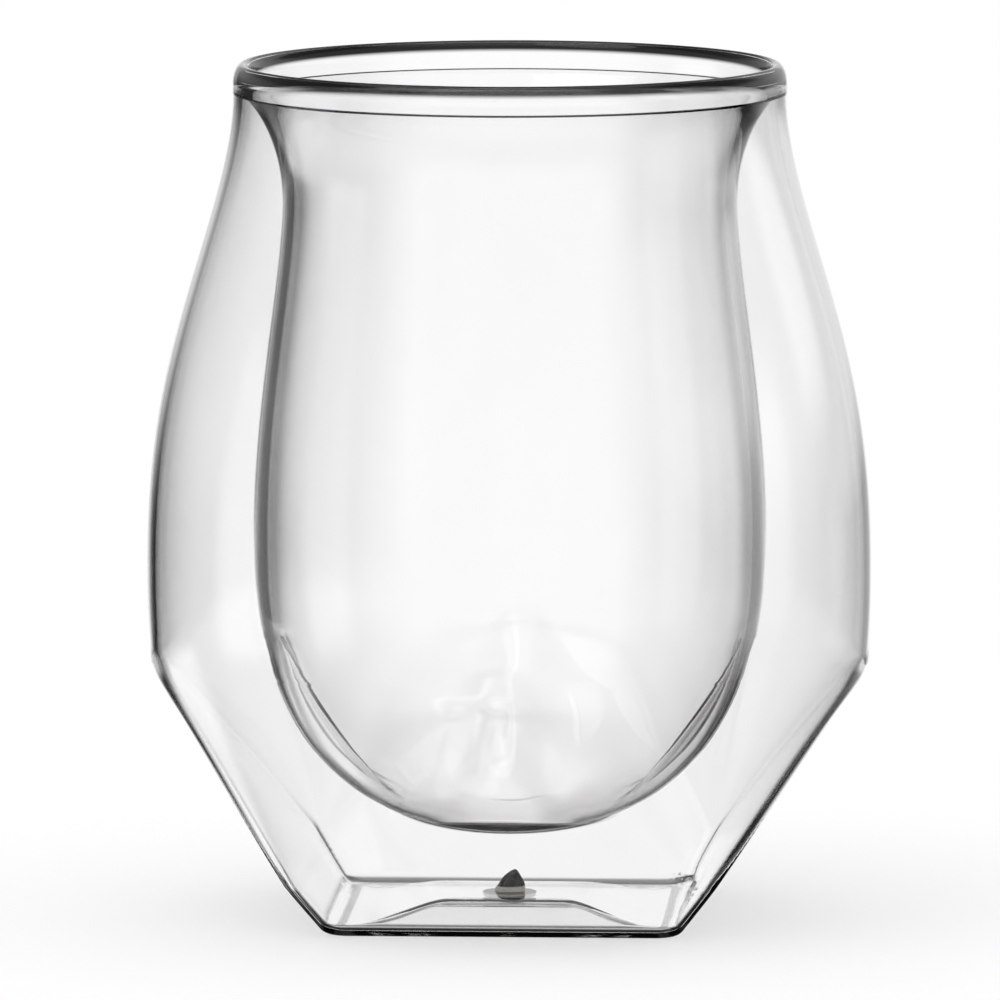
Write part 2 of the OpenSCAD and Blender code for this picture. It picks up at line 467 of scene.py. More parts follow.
@dataclass(frozen=True)
class GlassFinish:
    """Clear blown glass with a faint ripple.

    Attributes:
        name: Name of the material.
        tint: Colour that the glass passes.
        dulled: Colour that it passes where a cloth has dulled it.
        ior: How strongly the glass bends light.
        ripple_scale: Waves of the ripple per metre.
        ripple_depth: Depth of the ripple in metres.
        fine: Share of the finer ripple.
        haze_roughness: Roughness where the surface is dulled.
    """

    name: str
    tint: Colour = (0.990, 0.987, 0.989)
    dulled: Colour = (0.980, 0.977, 0.979)
    ior: float = 1.47
    ripple_scale: float = 45.0
    ripple_depth: float = 0.02 * MM
    fine: float = 0.05
    haze_roughness: float = 0.012

    def material(self, surface: bpy.types.NodeTree) -> bpy.types.Material:
        """Make the material.

        Args:
            surface: The node group of the blown surface.

        Returns:
            The material.
        """
        made, nodes, glass = start_material(self.name, passing=1.0, ior=self.ior)
        _, haze = add_unevenness(
            nodes, glass, surface, self.ripple_scale, self.fine, self.ripple_depth
        )
        nodes.link(nodes.math("MULTIPLY", haze, self.haze_roughness), glass.inputs["Roughness"])
        nodes.link(nodes.blend(self.tint, self.dulled, haze), glass.inputs["Base Color"])
        return made


def weld_material() -> bpy.types.Material:
    """Make glass that neither bends nor mirrors light, for the faces inside a fused joint.

    Returns:
        The material.
    """
    made, _, glass = start_material("fused_joint", passing=1.0, ior=1.0)
    glass.inputs["Base Color"].default_value = (1.0, 1.0, 1.0, 1.0)
    glass.inputs["Roughness"].default_value = 0.0
    return made


@dataclass(frozen=True)
class SiliconeFinish:
    """Slightly clear silicone, pale below and smoky on the head, whose near-black colour is partly
    painted shade.

    Attributes:
        name: Name of the material.
        body: Colour of the head: its smoky tone, darkened to near black as painted shade for its dark
            look in the air gap.
        skirt: Colour of the part in the hole and under the floor.
        head_z: Heights between which the skirt's colour goes over to the head's.
        clear: Share of the light that it lets through.
        ior: How strongly it bends light.
        grain_scale: Grains of the moulded surface per metre.
        grain_depth: Depth of the grain in metres.
        fine: Share of the finer grain.
        roughness: Roughness of the clean surface.
        haze_roughness: Roughness that dulled places add to it.
    """

    name: str
    # Near black: the head's smoky tone with painted shade for its dark look in the air gap.
    body: Colour = (0.020, 0.021, 0.012)
    skirt: Colour = (0.95, 0.94, 0.84)
    head_z: tuple[float, float] = (3.25 * MM, 3.45 * MM)
    clear: float = 0.1
    ior: float = 1.41
    grain_scale: float = 900.0
    grain_depth: float = 0.02 * MM
    fine: float = 0.5
    roughness: float = 0.22
    haze_roughness: float = 0.2

    def material(self, surface: bpy.types.NodeTree) -> bpy.types.Material:
        """Make the material.

        Args:
            surface: The node group of the blown surface, used here for the moulded grain.

        Returns:
            The material.
        """
        made, nodes, rubber = start_material(self.name, passing=self.clear, ior=self.ior)
        place, haze = add_unevenness(
            nodes, rubber, surface, self.grain_scale, self.fine, self.grain_depth
        )
        rough = nodes.math("MULTIPLY_ADD", haze, self.haze_roughness, self.roughness)
        nodes.link(rough, rubber.inputs["Roughness"])
        # Pale skirt below; above it, the head's smoky colour with painted shade, switched by height.
        split = nodes.add("SeparateXYZ")
        nodes.link(place, split.inputs[0])
        head_tone_and_shade = nodes.ramp(split.outputs[2], self.head_z)
        nodes.link(nodes.blend(self.skirt, self.body, head_tone_and_shade), rubber.inputs["Base Color"])
        return made


@dataclass
class OuterShell:
    """Blown shell: round neck and belly, four slanted flat triangles and a square foot.

    Attributes:
        weld_z: Height of the plane where the shell meets the rim bead.
        neck_r: Outer radius of the neck.
        belly_r: Half-width of the belly.
        belly_z: Height of the widest section.
        shell_t: Wall at the belly and the facets.
        neck_t: Wall at the neck.
        foot_r: Half-width of the foot, where the facets' planes meet the table.
        facet_lean: Lean of the facets from upright, in radians.
        floor_t: Glass under the air gap.
        punt_h: Height that the middle of the foot is pushed up.
        punt_r: Half-width of the flat top of the push-up.
        vent_r: Radius of the vent hole.
        shoulder_power: First power of the shoulder's curve.
        neck_power: Second power of the shoulder's curve.
        under_draw: How much the body draws in over under_reach below the belly.
        under_reach: Height over which it does.
        facet_spread: Half-width that a facet gains per unit of height below the crease.
        corner_r: Least radius of the corners between the facets.
        crease_soft: Softness of the crease between the body and the facets, at a facet's point.
        crease_soft_inside: The same on the inner face.
        corner_soft: The same at the corners, on both faces.
        point_soft: Height over which a facet's flat starts.
        foot_round: Rounding of the foot's outer edge.
        floor_round: Rounding inside, between the floor and the facets.
        foot_ring: Width of the flat ring that the glass stands on.
        punt_bend: Shares of punt_r between which the edge of the push-up has close rows.
        ring_bend: Shares of the ring's inner half-width between which it has close rows.
        slope_soft: Softness of both ends of the slope between them.
        floor_counts: Rows on the push-up, its edge, the slope, the ring's inner edge and the ring.
        arc_count: Rows on the arc from the ring to the facets.
        crease_span: Heights between which the crease is looked for.
        crease_halvings: Times that this span is halved.
        crease_band: Height above and below the crease that has close rows.
        wall_counts: Rows on the facets, round the crease and from there up to the weld.
        around: Columns of the grid.
        pull: How much the columns draw together at the corners, below 0.
    """

    weld_z: float
    neck_r: float
    belly_r: float
    belly_z: float = 38.0 * MM
    shell_t: float = 0.9 * MM
    neck_t: float = 1.05 * MM
    foot_r: float = 19.5 * MM
    facet_lean: float = math.radians(36.0)
    floor_t: float = 0.9 * MM
    punt_h: float = 1.9 * MM
    punt_r: float = 7.8 * MM
    vent_r: float = 1.55 * MM
    shoulder_power: float = 2.4
    neck_power: float = 1.95
    under_draw: float = 2.9 * MM
    under_reach: float = 25.0 * MM
    facet_spread: float = 1.0
    corner_r: float = 2.0 * MM
    crease_soft: float = 0.5 * MM
    crease_soft_inside: float = 0.8 * MM
    corner_soft: float = 4.5 * MM
    point_soft: float = 6.0 * MM
    foot_round: float = 2.0 * MM
    floor_round: float = 2.5 * MM
    foot_ring: float = 2.9 * MM
    punt_bend: tuple[float, float] = (0.9, 1.1)
    ring_bend: tuple[float, float] = (0.95, 1.05)
    slope_soft: float = 0.2
    floor_counts: tuple[int, ...] = (8, 6, 10, 6, 5)
    arc_count: int = 14
    crease_span: tuple[float, float] = (10.0 * MM, 36.0 * MM)
    crease_halvings: int = 40
    crease_band: float = 2.0 * MM
    wall_counts: tuple[int, ...] = (40, 17, 56)
    around: int = 320
    pull: float = -0.3

    @classmethod
    def from_frame(cls) -> "OuterShell":
        """Take the shell's reach from its solid and the rim's.

        Returns:
            The shell.
        """
        _, shell_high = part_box("outer_wall")
        _, rim_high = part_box("rim_bead")
        return cls(weld_z=shell_high.z, neck_r=rim_high.x, belly_r=shell_high.x)

    def body_half(self, z: np.ndarray) -> np.ndarray:
        """Half-width of the body at height z.

        From the neck down to the belly it swells by (1 - (1 - d)^p)^q of the difference, where d is
        the share of the way down and p and q are the two shoulder powers. Below the belly it draws
        in by a parabola.

        Args:
            z: Heights.

        Returns:
            Half-width at each height.
        """
        drop = np.clip((self.weld_z - z) / (self.weld_z - self.belly_z), 0.0, 1.0)
        swell = (1.0 - (1.0 - drop) ** self.shoulder_power) ** self.neck_power
        under = np.maximum(self.belly_z - z, 0.0) / self.under_reach
        return mix(self.neck_r, self.belly_r, swell) - self.under_draw * under**2

    def inset(self, z: np.ndarray, face: Face) -> np.ndarray:
        """Distance of a face inside the outer one: the wall's thickness, or nothing.

        Args:
            z: Heights.
            face: Which face of the wall.

        Returns:
            Distance at each height.
        """
        if face is Face.OUTER:
            return np.zeros_like(z)
        return mix(self.shell_t, self.neck_t, ease((z - self.belly_z) / (self.weld_z - self.belly_z)))

    def corner(self, face: Face) -> float:
        """Least corner radius of a face, which the wall takes up in part on the inner one."""
        return self.corner_r - (self.shell_t if face is Face.INNER else 0.0)

    def facet_half(self, z: np.ndarray, face: Face) -> np.ndarray:
        """Distance of the four slanted planes from the axis at height z."""
        inset = self.inset(z, face) / math.cos(self.facet_lean)
        return self.foot_r + math.tan(self.facet_lean) * z - inset

    def crease(self, face: Face) -> float:
        """Find where the slanted planes touch the round body, by halving a span of heights.

        Args:
            face: Which face of the wall.

        Returns:
            Height of the crease at the middle of a side.
        """
        low, high = np.array(self.crease_span[0]), np.array(self.crease_span[1])
        for _ in range(self.crease_halvings):
            middle = (low + high) / 2.0
            below = self.facet_half(middle, face) < self.body_half(middle) - self.inset(middle, face)
            low, high = np.where(below, middle, low), np.where(below, high, middle)
        return float(low)

    def radius(self, angle: np.ndarray, z: np.ndarray, face: Face) -> np.ndarray:
        """Radius of the shell: the smaller of the round body's and the facets', softly blended.

        Each facet is a flat triangle with its point on the crease. It widens evenly downwards, and
        the quarter circles between the facets get smaller until they are the foot's corners.

        Args:
            angle: Angles round the axis.
            z: Heights.
            face: Which face of the wall.

        Returns:
            Radius at each angle and height.
        """
        half = self.facet_half(z, face)
        drop = -soft_min(z - self.crease(face), np.zeros_like(z), self.point_soft)
        flat = np.minimum(self.facet_spread * drop, half - self.corner(face))
        body = self.body_half(z) - self.inset(z, face)
        sharp = self.crease_soft_inside if face is Face.INNER else self.crease_soft
        softness = mix(sharp, self.corner_soft, ease(corner_share(angle)))
        return soft_min(body, round_square(angle, half, flat), softness)

    def floor_rows(self, angle: np.ndarray, face: Face) -> tuple[np.ndarray, np.ndarray, np.ndarray]:
        """Rows from the vent hole out to the end of the foot's rounded edge.

        The section goes from a circle at the hole to the foot's soft square, level over the punt,
        sloping down to the flat ring, and then an arc turns up to the facets.

        Args:
            angle: Angles of the columns.
            face: Which face of the wall.

        Returns:
            Radius and height grids, and the height where the arc meets the facets.
        """
        inner = face is Face.INNER
        base = self.floor_t if inner else 0.0
        bend = self.floor_round if inner else self.foot_round
        lean = self.facet_lean
        turn = math.pi / 2.0 - lean
        wall = self.shell_t / math.cos(lean) if inner else 0.0
        tangent = self.foot_r + math.tan(lean) * base - wall - bend * math.tan(turn / 2.0)
        ring_in = self.foot_r - self.foot_round * math.tan(turn / 2.0) - self.foot_ring
        bends = [self.punt_r * share for share in self.punt_bend]
        bends += [ring_in * share for share in self.ring_bend]
        flat = spaced([self.vent_r, *bends, tangent], self.floor_counts)
        slope = (flat - self.punt_r) / (ring_in - self.punt_r)
        eased = soft_min(np.maximum(slope, -1.0), np.ones_like(slope), self.slope_soft)
        fall = -soft_min(-eased, np.zeros_like(slope), self.slope_soft)
        flat_z = base + self.punt_h * (1.0 - np.clip(fall, 0.0, 1.0))
        arc = np.linspace(0.0, turn, self.arc_count)[1:]
        half = np.concatenate([flat, tangent + bend * np.sin(arc)])
        height = np.concatenate([flat_z, base + bend * (1.0 - np.cos(arc))])
        square = ease((half - self.vent_r) / (self.punt_r - self.vent_r))
        flat_share = square * (1.0 - self.corner(face) / half[-1])
        radius = round_square(angle[None, :], half[:, None], (half * flat_share)[:, None])
        return radius, np.broadcast_to(height[:, None], radius.shape), height[-1]

    def face_grid(self, angle: np.ndarray, face: Face) -> np.ndarray:
        """Grid of one face from the vent hole out and up to the weld.

        Args:
            angle: Angles of the columns.
            face: Which face of the wall.

        Returns:
            Points, rows by columns by 3.
        """
        floor_r, floor_z, start = self.floor_rows(angle, face)
        crease = self.crease(face)
        stops = [start, crease - self.crease_band, crease + self.crease_band, self.weld_z]
        wall_z = spaced(stops, self.wall_counts)[1:, None]
        wall_r = self.radius(angle[None, :], wall_z, face)
        wall_z = np.broadcast_to(wall_z, wall_r.shape)
        return turned(np.concatenate([floor_r, wall_r]), np.concatenate([floor_z, wall_z]), angle)

    def build(self, glass: bpy.types.Material, weld: bpy.types.Material) -> bpy.types.Object:
        """Make the shell, which rides on the root and stands for its solid.

        Args:
            glass: Material of its faces.
            weld: Material of its top edge, inside the fused joint.

        Returns:
            The piece.
        """
        angle = side_angles(self.around, self.pull)
        outer = self.face_grid(angle, Face.OUTER)
        inner = self.face_grid(angle, Face.INNER)[::-1]
        grid = np.concatenate([outer, inner])
        piece = surface_object("outer_shell", grid, Ends.LOOP, (glass, weld), [len(outer) - 1])
        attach(piece, "root")
        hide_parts("outer_wall")
        return piece


@dataclass
class DrinkingBowl:
    """Blown bowl: flared lip, waist, belly and round bottom, with four fins pressed into the wall.

    Attributes:
        weld_z: Height of the plane where the lip meets the rim bead.
        lip_r: Outer radius of the lip.
        lip_inner_r: Inner radius of the lip.
        floor_z: Height of the underside.
        lip_t: Width of the rim, from the shell's outer face to the bowl's inner face.
        lip_flare: Share of the flare that the lip keeps at the first handle of its curve.
        lip_drop: How far that handle lies below the weld.
        lip_bend: Height of the second handle, as a share of the way from the waist to the weld.
        waist_r: Outer radius of the waist.
        waist_z: Height of the waist.
        waist_t: Wall at the waist.
        waist_drop: Length of the side curve's handle at the waist.
        belly_r: Outer radius of the belly.
        belly_z: Height of the widest section.
        belly_t: Wall at the belly.
        belly_lift: Length of the side curve's handle at the belly.
        floor_t: Thickness of the floor.
        bottom_power: Power of the superellipse that the lower half follows outside.
        hollow_power: The same inside.
        fin_h: How far a fin stands into the bowl at the middle of its length.
        fin_top_w: Half-width of a fin at its upper end.
        fin_half_w: Half-width of a fin where it reaches the floor.
        fin_from: Angle round the lower half where a fin starts, in radians.
        fin_to: Angle where it ends.
        row_counts: Rows on the lip, on the side and on the bottom.
        around: Columns of the grid.
        pull: How much the columns draw together at the fins.
    """

    weld_z: float
    lip_r: float
    lip_inner_r: float
    floor_z: float
    lip_t: float = 2.2 * MM
    lip_flare: float = 0.5
    lip_drop: float = 2.2 * MM
    lip_bend: float = 0.45
    waist_r: float = 25.2 * MM
    waist_z: float = 79.8 * MM
    waist_t: float = 1.3 * MM
    waist_drop: float = 8.0 * MM
    belly_r: float = 28.5 * MM
    belly_z: float = 43.0 * MM
    belly_t: float = 1.5 * MM
    belly_lift: float = 14.0 * MM
    floor_t: float = 0.9 * MM
    bottom_power: float = 2.4
    hollow_power: float = 2.5
    fin_h: float = 2.8 * MM
    fin_top_w: float = 4.5 * MM
    fin_half_w: float = 9.0 * MM
    fin_from: float = math.radians(17.0)
    fin_to: float = math.radians(69.0)
    row_counts: tuple[int, int, int] = (29, 37, 73)
    around: int = 320
    pull: float = 0.5

    @classmethod
    def from_frame(cls) -> "DrinkingBowl":
        """Take the bowl's reach from its solid and the rim's.

        Returns:
            The bowl.
        """
        low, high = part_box("inner_bowl")
        _, rim_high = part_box("rim_bead")
        return cls(weld_z=high.z, lip_r=high.x, lip_inner_r=rim_high.x - cls.lip_t, floor_z=low.z)

    def profile(self, face: Face) -> tuple[np.ndarray, np.ndarray, np.ndarray]:
        """Profile of one face from the lip down to the floor.

        A cubic curve makes the flared lip, a smooth ramp the stretch from the waist to the belly,
        and a quarter of a superellipse the bottom.

        Args:
            face: Which face of the wall.

        Returns:
            Radius, height, and the angle round the lower quarter, which is 0 above it.
        """
        inner = face is Face.INNER
        lip = self.lip_inner_r if inner else self.lip_r
        waist = self.waist_r - (self.waist_t if inner else 0.0)
        belly = self.belly_r - (self.belly_t if inner else 0.0)
        floor = self.floor_z + (self.floor_t if inner else 0.0)
        lip_count, side_count, bottom_count = self.row_counts
        lip_s = np.linspace(0.0, 1.0, lip_count)[:-1]
        lip_r = cubic([lip, mix(waist, lip, self.lip_flare), waist, waist], lip_s)
        bend_z = mix(self.waist_z, self.weld_z, self.lip_bend)
        lip_z = cubic([self.weld_z, self.weld_z - self.lip_drop, bend_z, self.waist_z], lip_s)
        side_s = np.linspace(0.0, 1.0, side_count)[:-1]
        side_r = mix(waist, belly, ease(side_s))
        waist_low, belly_high = self.waist_z - self.waist_drop, self.belly_z + self.belly_lift
        side_z = cubic([self.waist_z, waist_low, belly_high, self.belly_z], side_s)
        turn = np.linspace(0.0, math.pi / 2.0, bottom_count)
        power = self.hollow_power if inner else self.bottom_power
        bottom_r = belly * np.maximum(np.cos(turn), 0.0) ** (2.0 / power)
        bottom_r[-1] = 0.0
        bottom_z = self.belly_z - (self.belly_z - floor) * np.sin(turn) ** (2.0 / power)
        flat = np.zeros(len(lip_s) + len(side_s))
        return (
            np.concatenate([lip_r, side_r, bottom_r]),
            np.concatenate([lip_z, side_z, bottom_z]),
            np.concatenate([flat, turn]),
        )

    def face_grid(self, angle: np.ndarray, face: Face) -> np.ndarray:
        """Grid of one face from the lip down to the floor, pressed in along its normal at the fins.

        A fin rises as 4 s (1 - s) along its length s, so that its crest runs nearly straight across
        the bowl's curve, and it widens with s. Across its width it is a smooth ridge.

        Args:
            angle: Angles of the columns.
            face: Which face of the wall.

        Returns:
            Points, rows by columns by 3.
        """
        radius, height, turn = self.profile(face)
        inner = face is Face.INNER
        wide = self.belly_r - (self.belly_t if inner else 0.0)
        deep = self.belly_z - self.floor_z - (self.floor_t if inner else 0.0)
        share = np.clip((turn - self.fin_from) / (self.fin_to - self.fin_from), 0.0, 1.0)
        rise = 4.0 * self.fin_h * share * (1.0 - share)
        reach = mix(self.fin_top_w, self.fin_half_w, share)
        slope = 2.0 - 2.0 / (self.hollow_power if inner else self.bottom_power)
        normal_r = np.maximum(np.cos(turn), 0.0) ** slope / wide
        normal_z = np.sin(turn) ** slope / deep
        length = np.hypot(normal_r, normal_z)
        off = angle - math.pi / 2.0 * np.round(angle / (math.pi / 2.0))
        across = radius[:, None] * np.abs(np.sin(off))[None, :] / reach[:, None]
        press = rise[:, None] * ease(1.0 - across)
        pressed_r = radius[:, None] - press * (normal_r / length)[:, None]
        pressed_z = height[:, None] + press * (normal_z / length)[:, None]
        return turned(pressed_r, pressed_z, angle)

    def build(self, glass: bpy.types.Material, weld: bpy.types.Material) -> bpy.types.Object:
        """Make the bowl, which rides on the root and stands for its solid.

        Args:
            glass: Material of its faces.
            weld: Material of its lip's edge, inside the fused joint.

        Returns:
            The piece.
        """
        angle = side_angles(self.around, self.pull)
        outer = self.face_grid(angle, Face.OUTER)[::-1]
        inner = self.face_grid(angle, Face.INNER)
        grid = np.concatenate([outer, inner])
        piece = surface_object("drinking_bowl", grid, Ends.POLES, (glass, weld), [len(outer) - 1])
        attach(piece, "root")
        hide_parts("inner_bowl")
        return piece


@dataclass
class RimBead:
    """Fused ring over both lips: an upright band with a rounded crown.

    Attributes:
        weld_z: Height of the plane that it stands on.
        top_z: Height of the top of the rim.
        outer_r: Outer radius.
        inner_r: Inner radius.
        shell_inner_r: Inner radius of the shell's edge under it.
        bowl_outer_r: Outer radius of the bowl's edge under it.
        crown_h: Height of the rounded crown.
        crown_count: Rows over the crown.
        side_count: Rows on each upright side, with both of its ends.
        around: Columns of the grid.
    """

    weld_z: float
    top_z: float
    outer_r: float
    inner_r: float
    shell_inner_r: float
    bowl_outer_r: float
    crown_h: float = 2.3 * MM
    crown_count: int = 49
    side_count: int = 6
    around: int = 320

    @classmethod
    def from_frame(cls, shell: OuterShell, bowl: DrinkingBowl) -> "RimBead":
        """Take the bead's reach from its solid and from the two walls that it joins.

        Args:
            shell: The shell.
            bowl: The bowl.

        Returns:
            The bead.
        """
        low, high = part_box("rim_bead")
        return cls(low.z, high.z, high.x, bowl.lip_inner_r, shell.neck_r - shell.neck_t, bowl.lip_r)

    def build(self, glass: bpy.types.Material, weld: bpy.types.Material) -> bpy.types.Object:
        """Make the bead from its closed profile, turned round the axis.

        The profile runs out along the weld, up the outside, over half an ellipse and down the inside.

        Args:
            glass: Material of its faces.
            weld: Material of its underside where it is fused to the walls.

        Returns:
            The piece.
        """
        crown_z = self.top_z - self.crown_h
        half = (self.outer_r - self.inner_r) / 2.0
        arc = np.linspace(0.0, math.pi, self.crown_count)
        side = np.linspace(0.0, 1.0, self.side_count)[1:-1]
        base = [self.inner_r, self.bowl_outer_r, self.shell_inner_r, self.outer_r]
        on_bowl, on_shell = 0, 2
        radius = np.concatenate([
            base,
            np.full_like(side, self.outer_r),
            self.outer_r - half + half * np.cos(arc),
            np.full_like(side, self.inner_r),
        ])
        height = np.concatenate([
            np.full(len(base), self.weld_z),
            mix(self.weld_z, crown_z, side),
            crown_z + self.crown_h * np.sin(arc),
            mix(crown_z, self.weld_z, side),
        ])
        grid = turned(radius, height, side_angles(self.around, pull=0.0))
        piece = surface_object("rim_ring", grid, Ends.LOOP, (glass, weld), [on_bowl, on_shell])
        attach(piece, "root")
        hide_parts("rim_bead")
        return piece


@dataclass
class VentSeal:
    """Seal of the vent hole: a flange under the floor, a shank and a pointed head in the gap.

    Attributes:
        low_z: Underside of the flange.
        high_z: Top of the head.
        flange_r: Radius of the flange.
        flange_h: Thickness of the flange.
        floor_t: Thickness of the floor that the shank goes through.
        shank_r: Radius of the shank.
        head_r: Radius of the head.
        head_power: Power that draws the head to a soft point.
        lump: Height of the lumps on the head, as a share of its radius.
        lobes: Lumps round the head.
        wind: Angle that the lumps wind on by from the head's foot to its point, in radians.
        lean: Shift of the point to the right.
        lean_power: Power of the height that the shift follows.
        under_count: Rows on the underside.
        edge_count: Rows on the flange's round edge.
        step_count: Rows on the flange's top, and on the shank.
        head_count: Rows on the head.
        around: Columns of the grid.
    """

    low_z: float
    high_z: float
    flange_r: float
    flange_h: float = 0.6 * MM
    floor_t: float = 0.9 * MM
    shank_r: float = 1.5 * MM
    head_r: float = 1.7 * MM
    head_power: float = 1.4
    lump: float = 0.1
    lobes: float = 3.0
    wind: float = 5.0
    lean: float = 0.6 * MM
    lean_power: float = 1.5
    under_count: int = 5
    edge_count: int = 7
    step_count: int = 6
    head_count: int = 17
    around: int = 96

    @classmethod
    def from_frame(cls) -> "VentSeal":
        """Take the seal's reach from its solid.

        Returns:
            The seal.
        """
        low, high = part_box("vent_seal")
        return cls(low.z, high.z, high.x)

    def build(self, silicone: bpy.types.Material) -> bpy.types.Object:
        """Make the seal from its profile, turned round the axis.

        On the head the radius swells and shrinks with the sine of a multiple of the angle, which
        winds on with the height, and the sections shift to the right with a power of the height.

        Args:
            silicone: Material of the whole seal.

        Returns:
            The piece.
        """
        floor_z = self.low_z + self.flange_h
        head_z = floor_z + self.floor_t
        arc = np.linspace(0.0, math.pi / 2.0, self.head_count)
        edge = np.linspace(0.0, 1.0, self.edge_count)[1:] * math.pi / 2.0
        radius = np.concatenate([
            np.linspace(0.0, self.flange_r - self.flange_h, self.under_count),
            self.flange_r - self.flange_h * (1.0 - np.sin(edge)),
            np.linspace(self.flange_r, self.shank_r, self.step_count)[1:],
            np.full(self.step_count - 1, self.shank_r),
            self.head_r * np.maximum(np.cos(arc), 0.0) ** self.head_power,
        ])
        height = np.concatenate([
            np.full(self.under_count, self.low_z),
            self.low_z + self.flange_h * (1.0 - np.cos(edge)),
            np.full(self.step_count - 1, floor_z),
            np.linspace(floor_z, head_z, self.step_count)[1:],
            head_z + (self.high_z - head_z) * np.sin(arc) ** self.head_power,
        ])
        radius[-1] = 0.0
        angles = side_angles(self.around, pull=0.0)
        grid = turned(radius, height, angles)
        up = np.clip((grid[..., 2] - head_z) / (self.high_z - head_z), 0.0, 1.0)
        swell = 1.0 + self.lump * np.sin(self.lobes * angles + self.wind * up) * np.sin(math.pi * up)
        grid[..., :2] *= swell[..., None]
        grid[..., 0] += self.lean * up**self.lean_power
        piece = surface_object("vent_plug", grid, Ends.POLES, (silicone,))
        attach(piece, "root")
        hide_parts("vent_seal")
        return piece


@dataclass(frozen=True)
class Panel:
    """Panel that the glass is seen against from one side, or that softens its edges.

    Attributes:
        turn: Direction of its middle, in degrees from +Y towards +X.
        wide: Angles from the middle where it starts to darken and where it has ended.
        low: Degrees over the horizon where its lower edge starts to darken and where it has ended.
        high: The same for its upper edge.
        level: Brightness, where 1 is white.
    """

    turn: float
    wide: tuple[float, float]
    low: tuple[float, float]
    high: tuple[float, float]
    level: float = 1.0


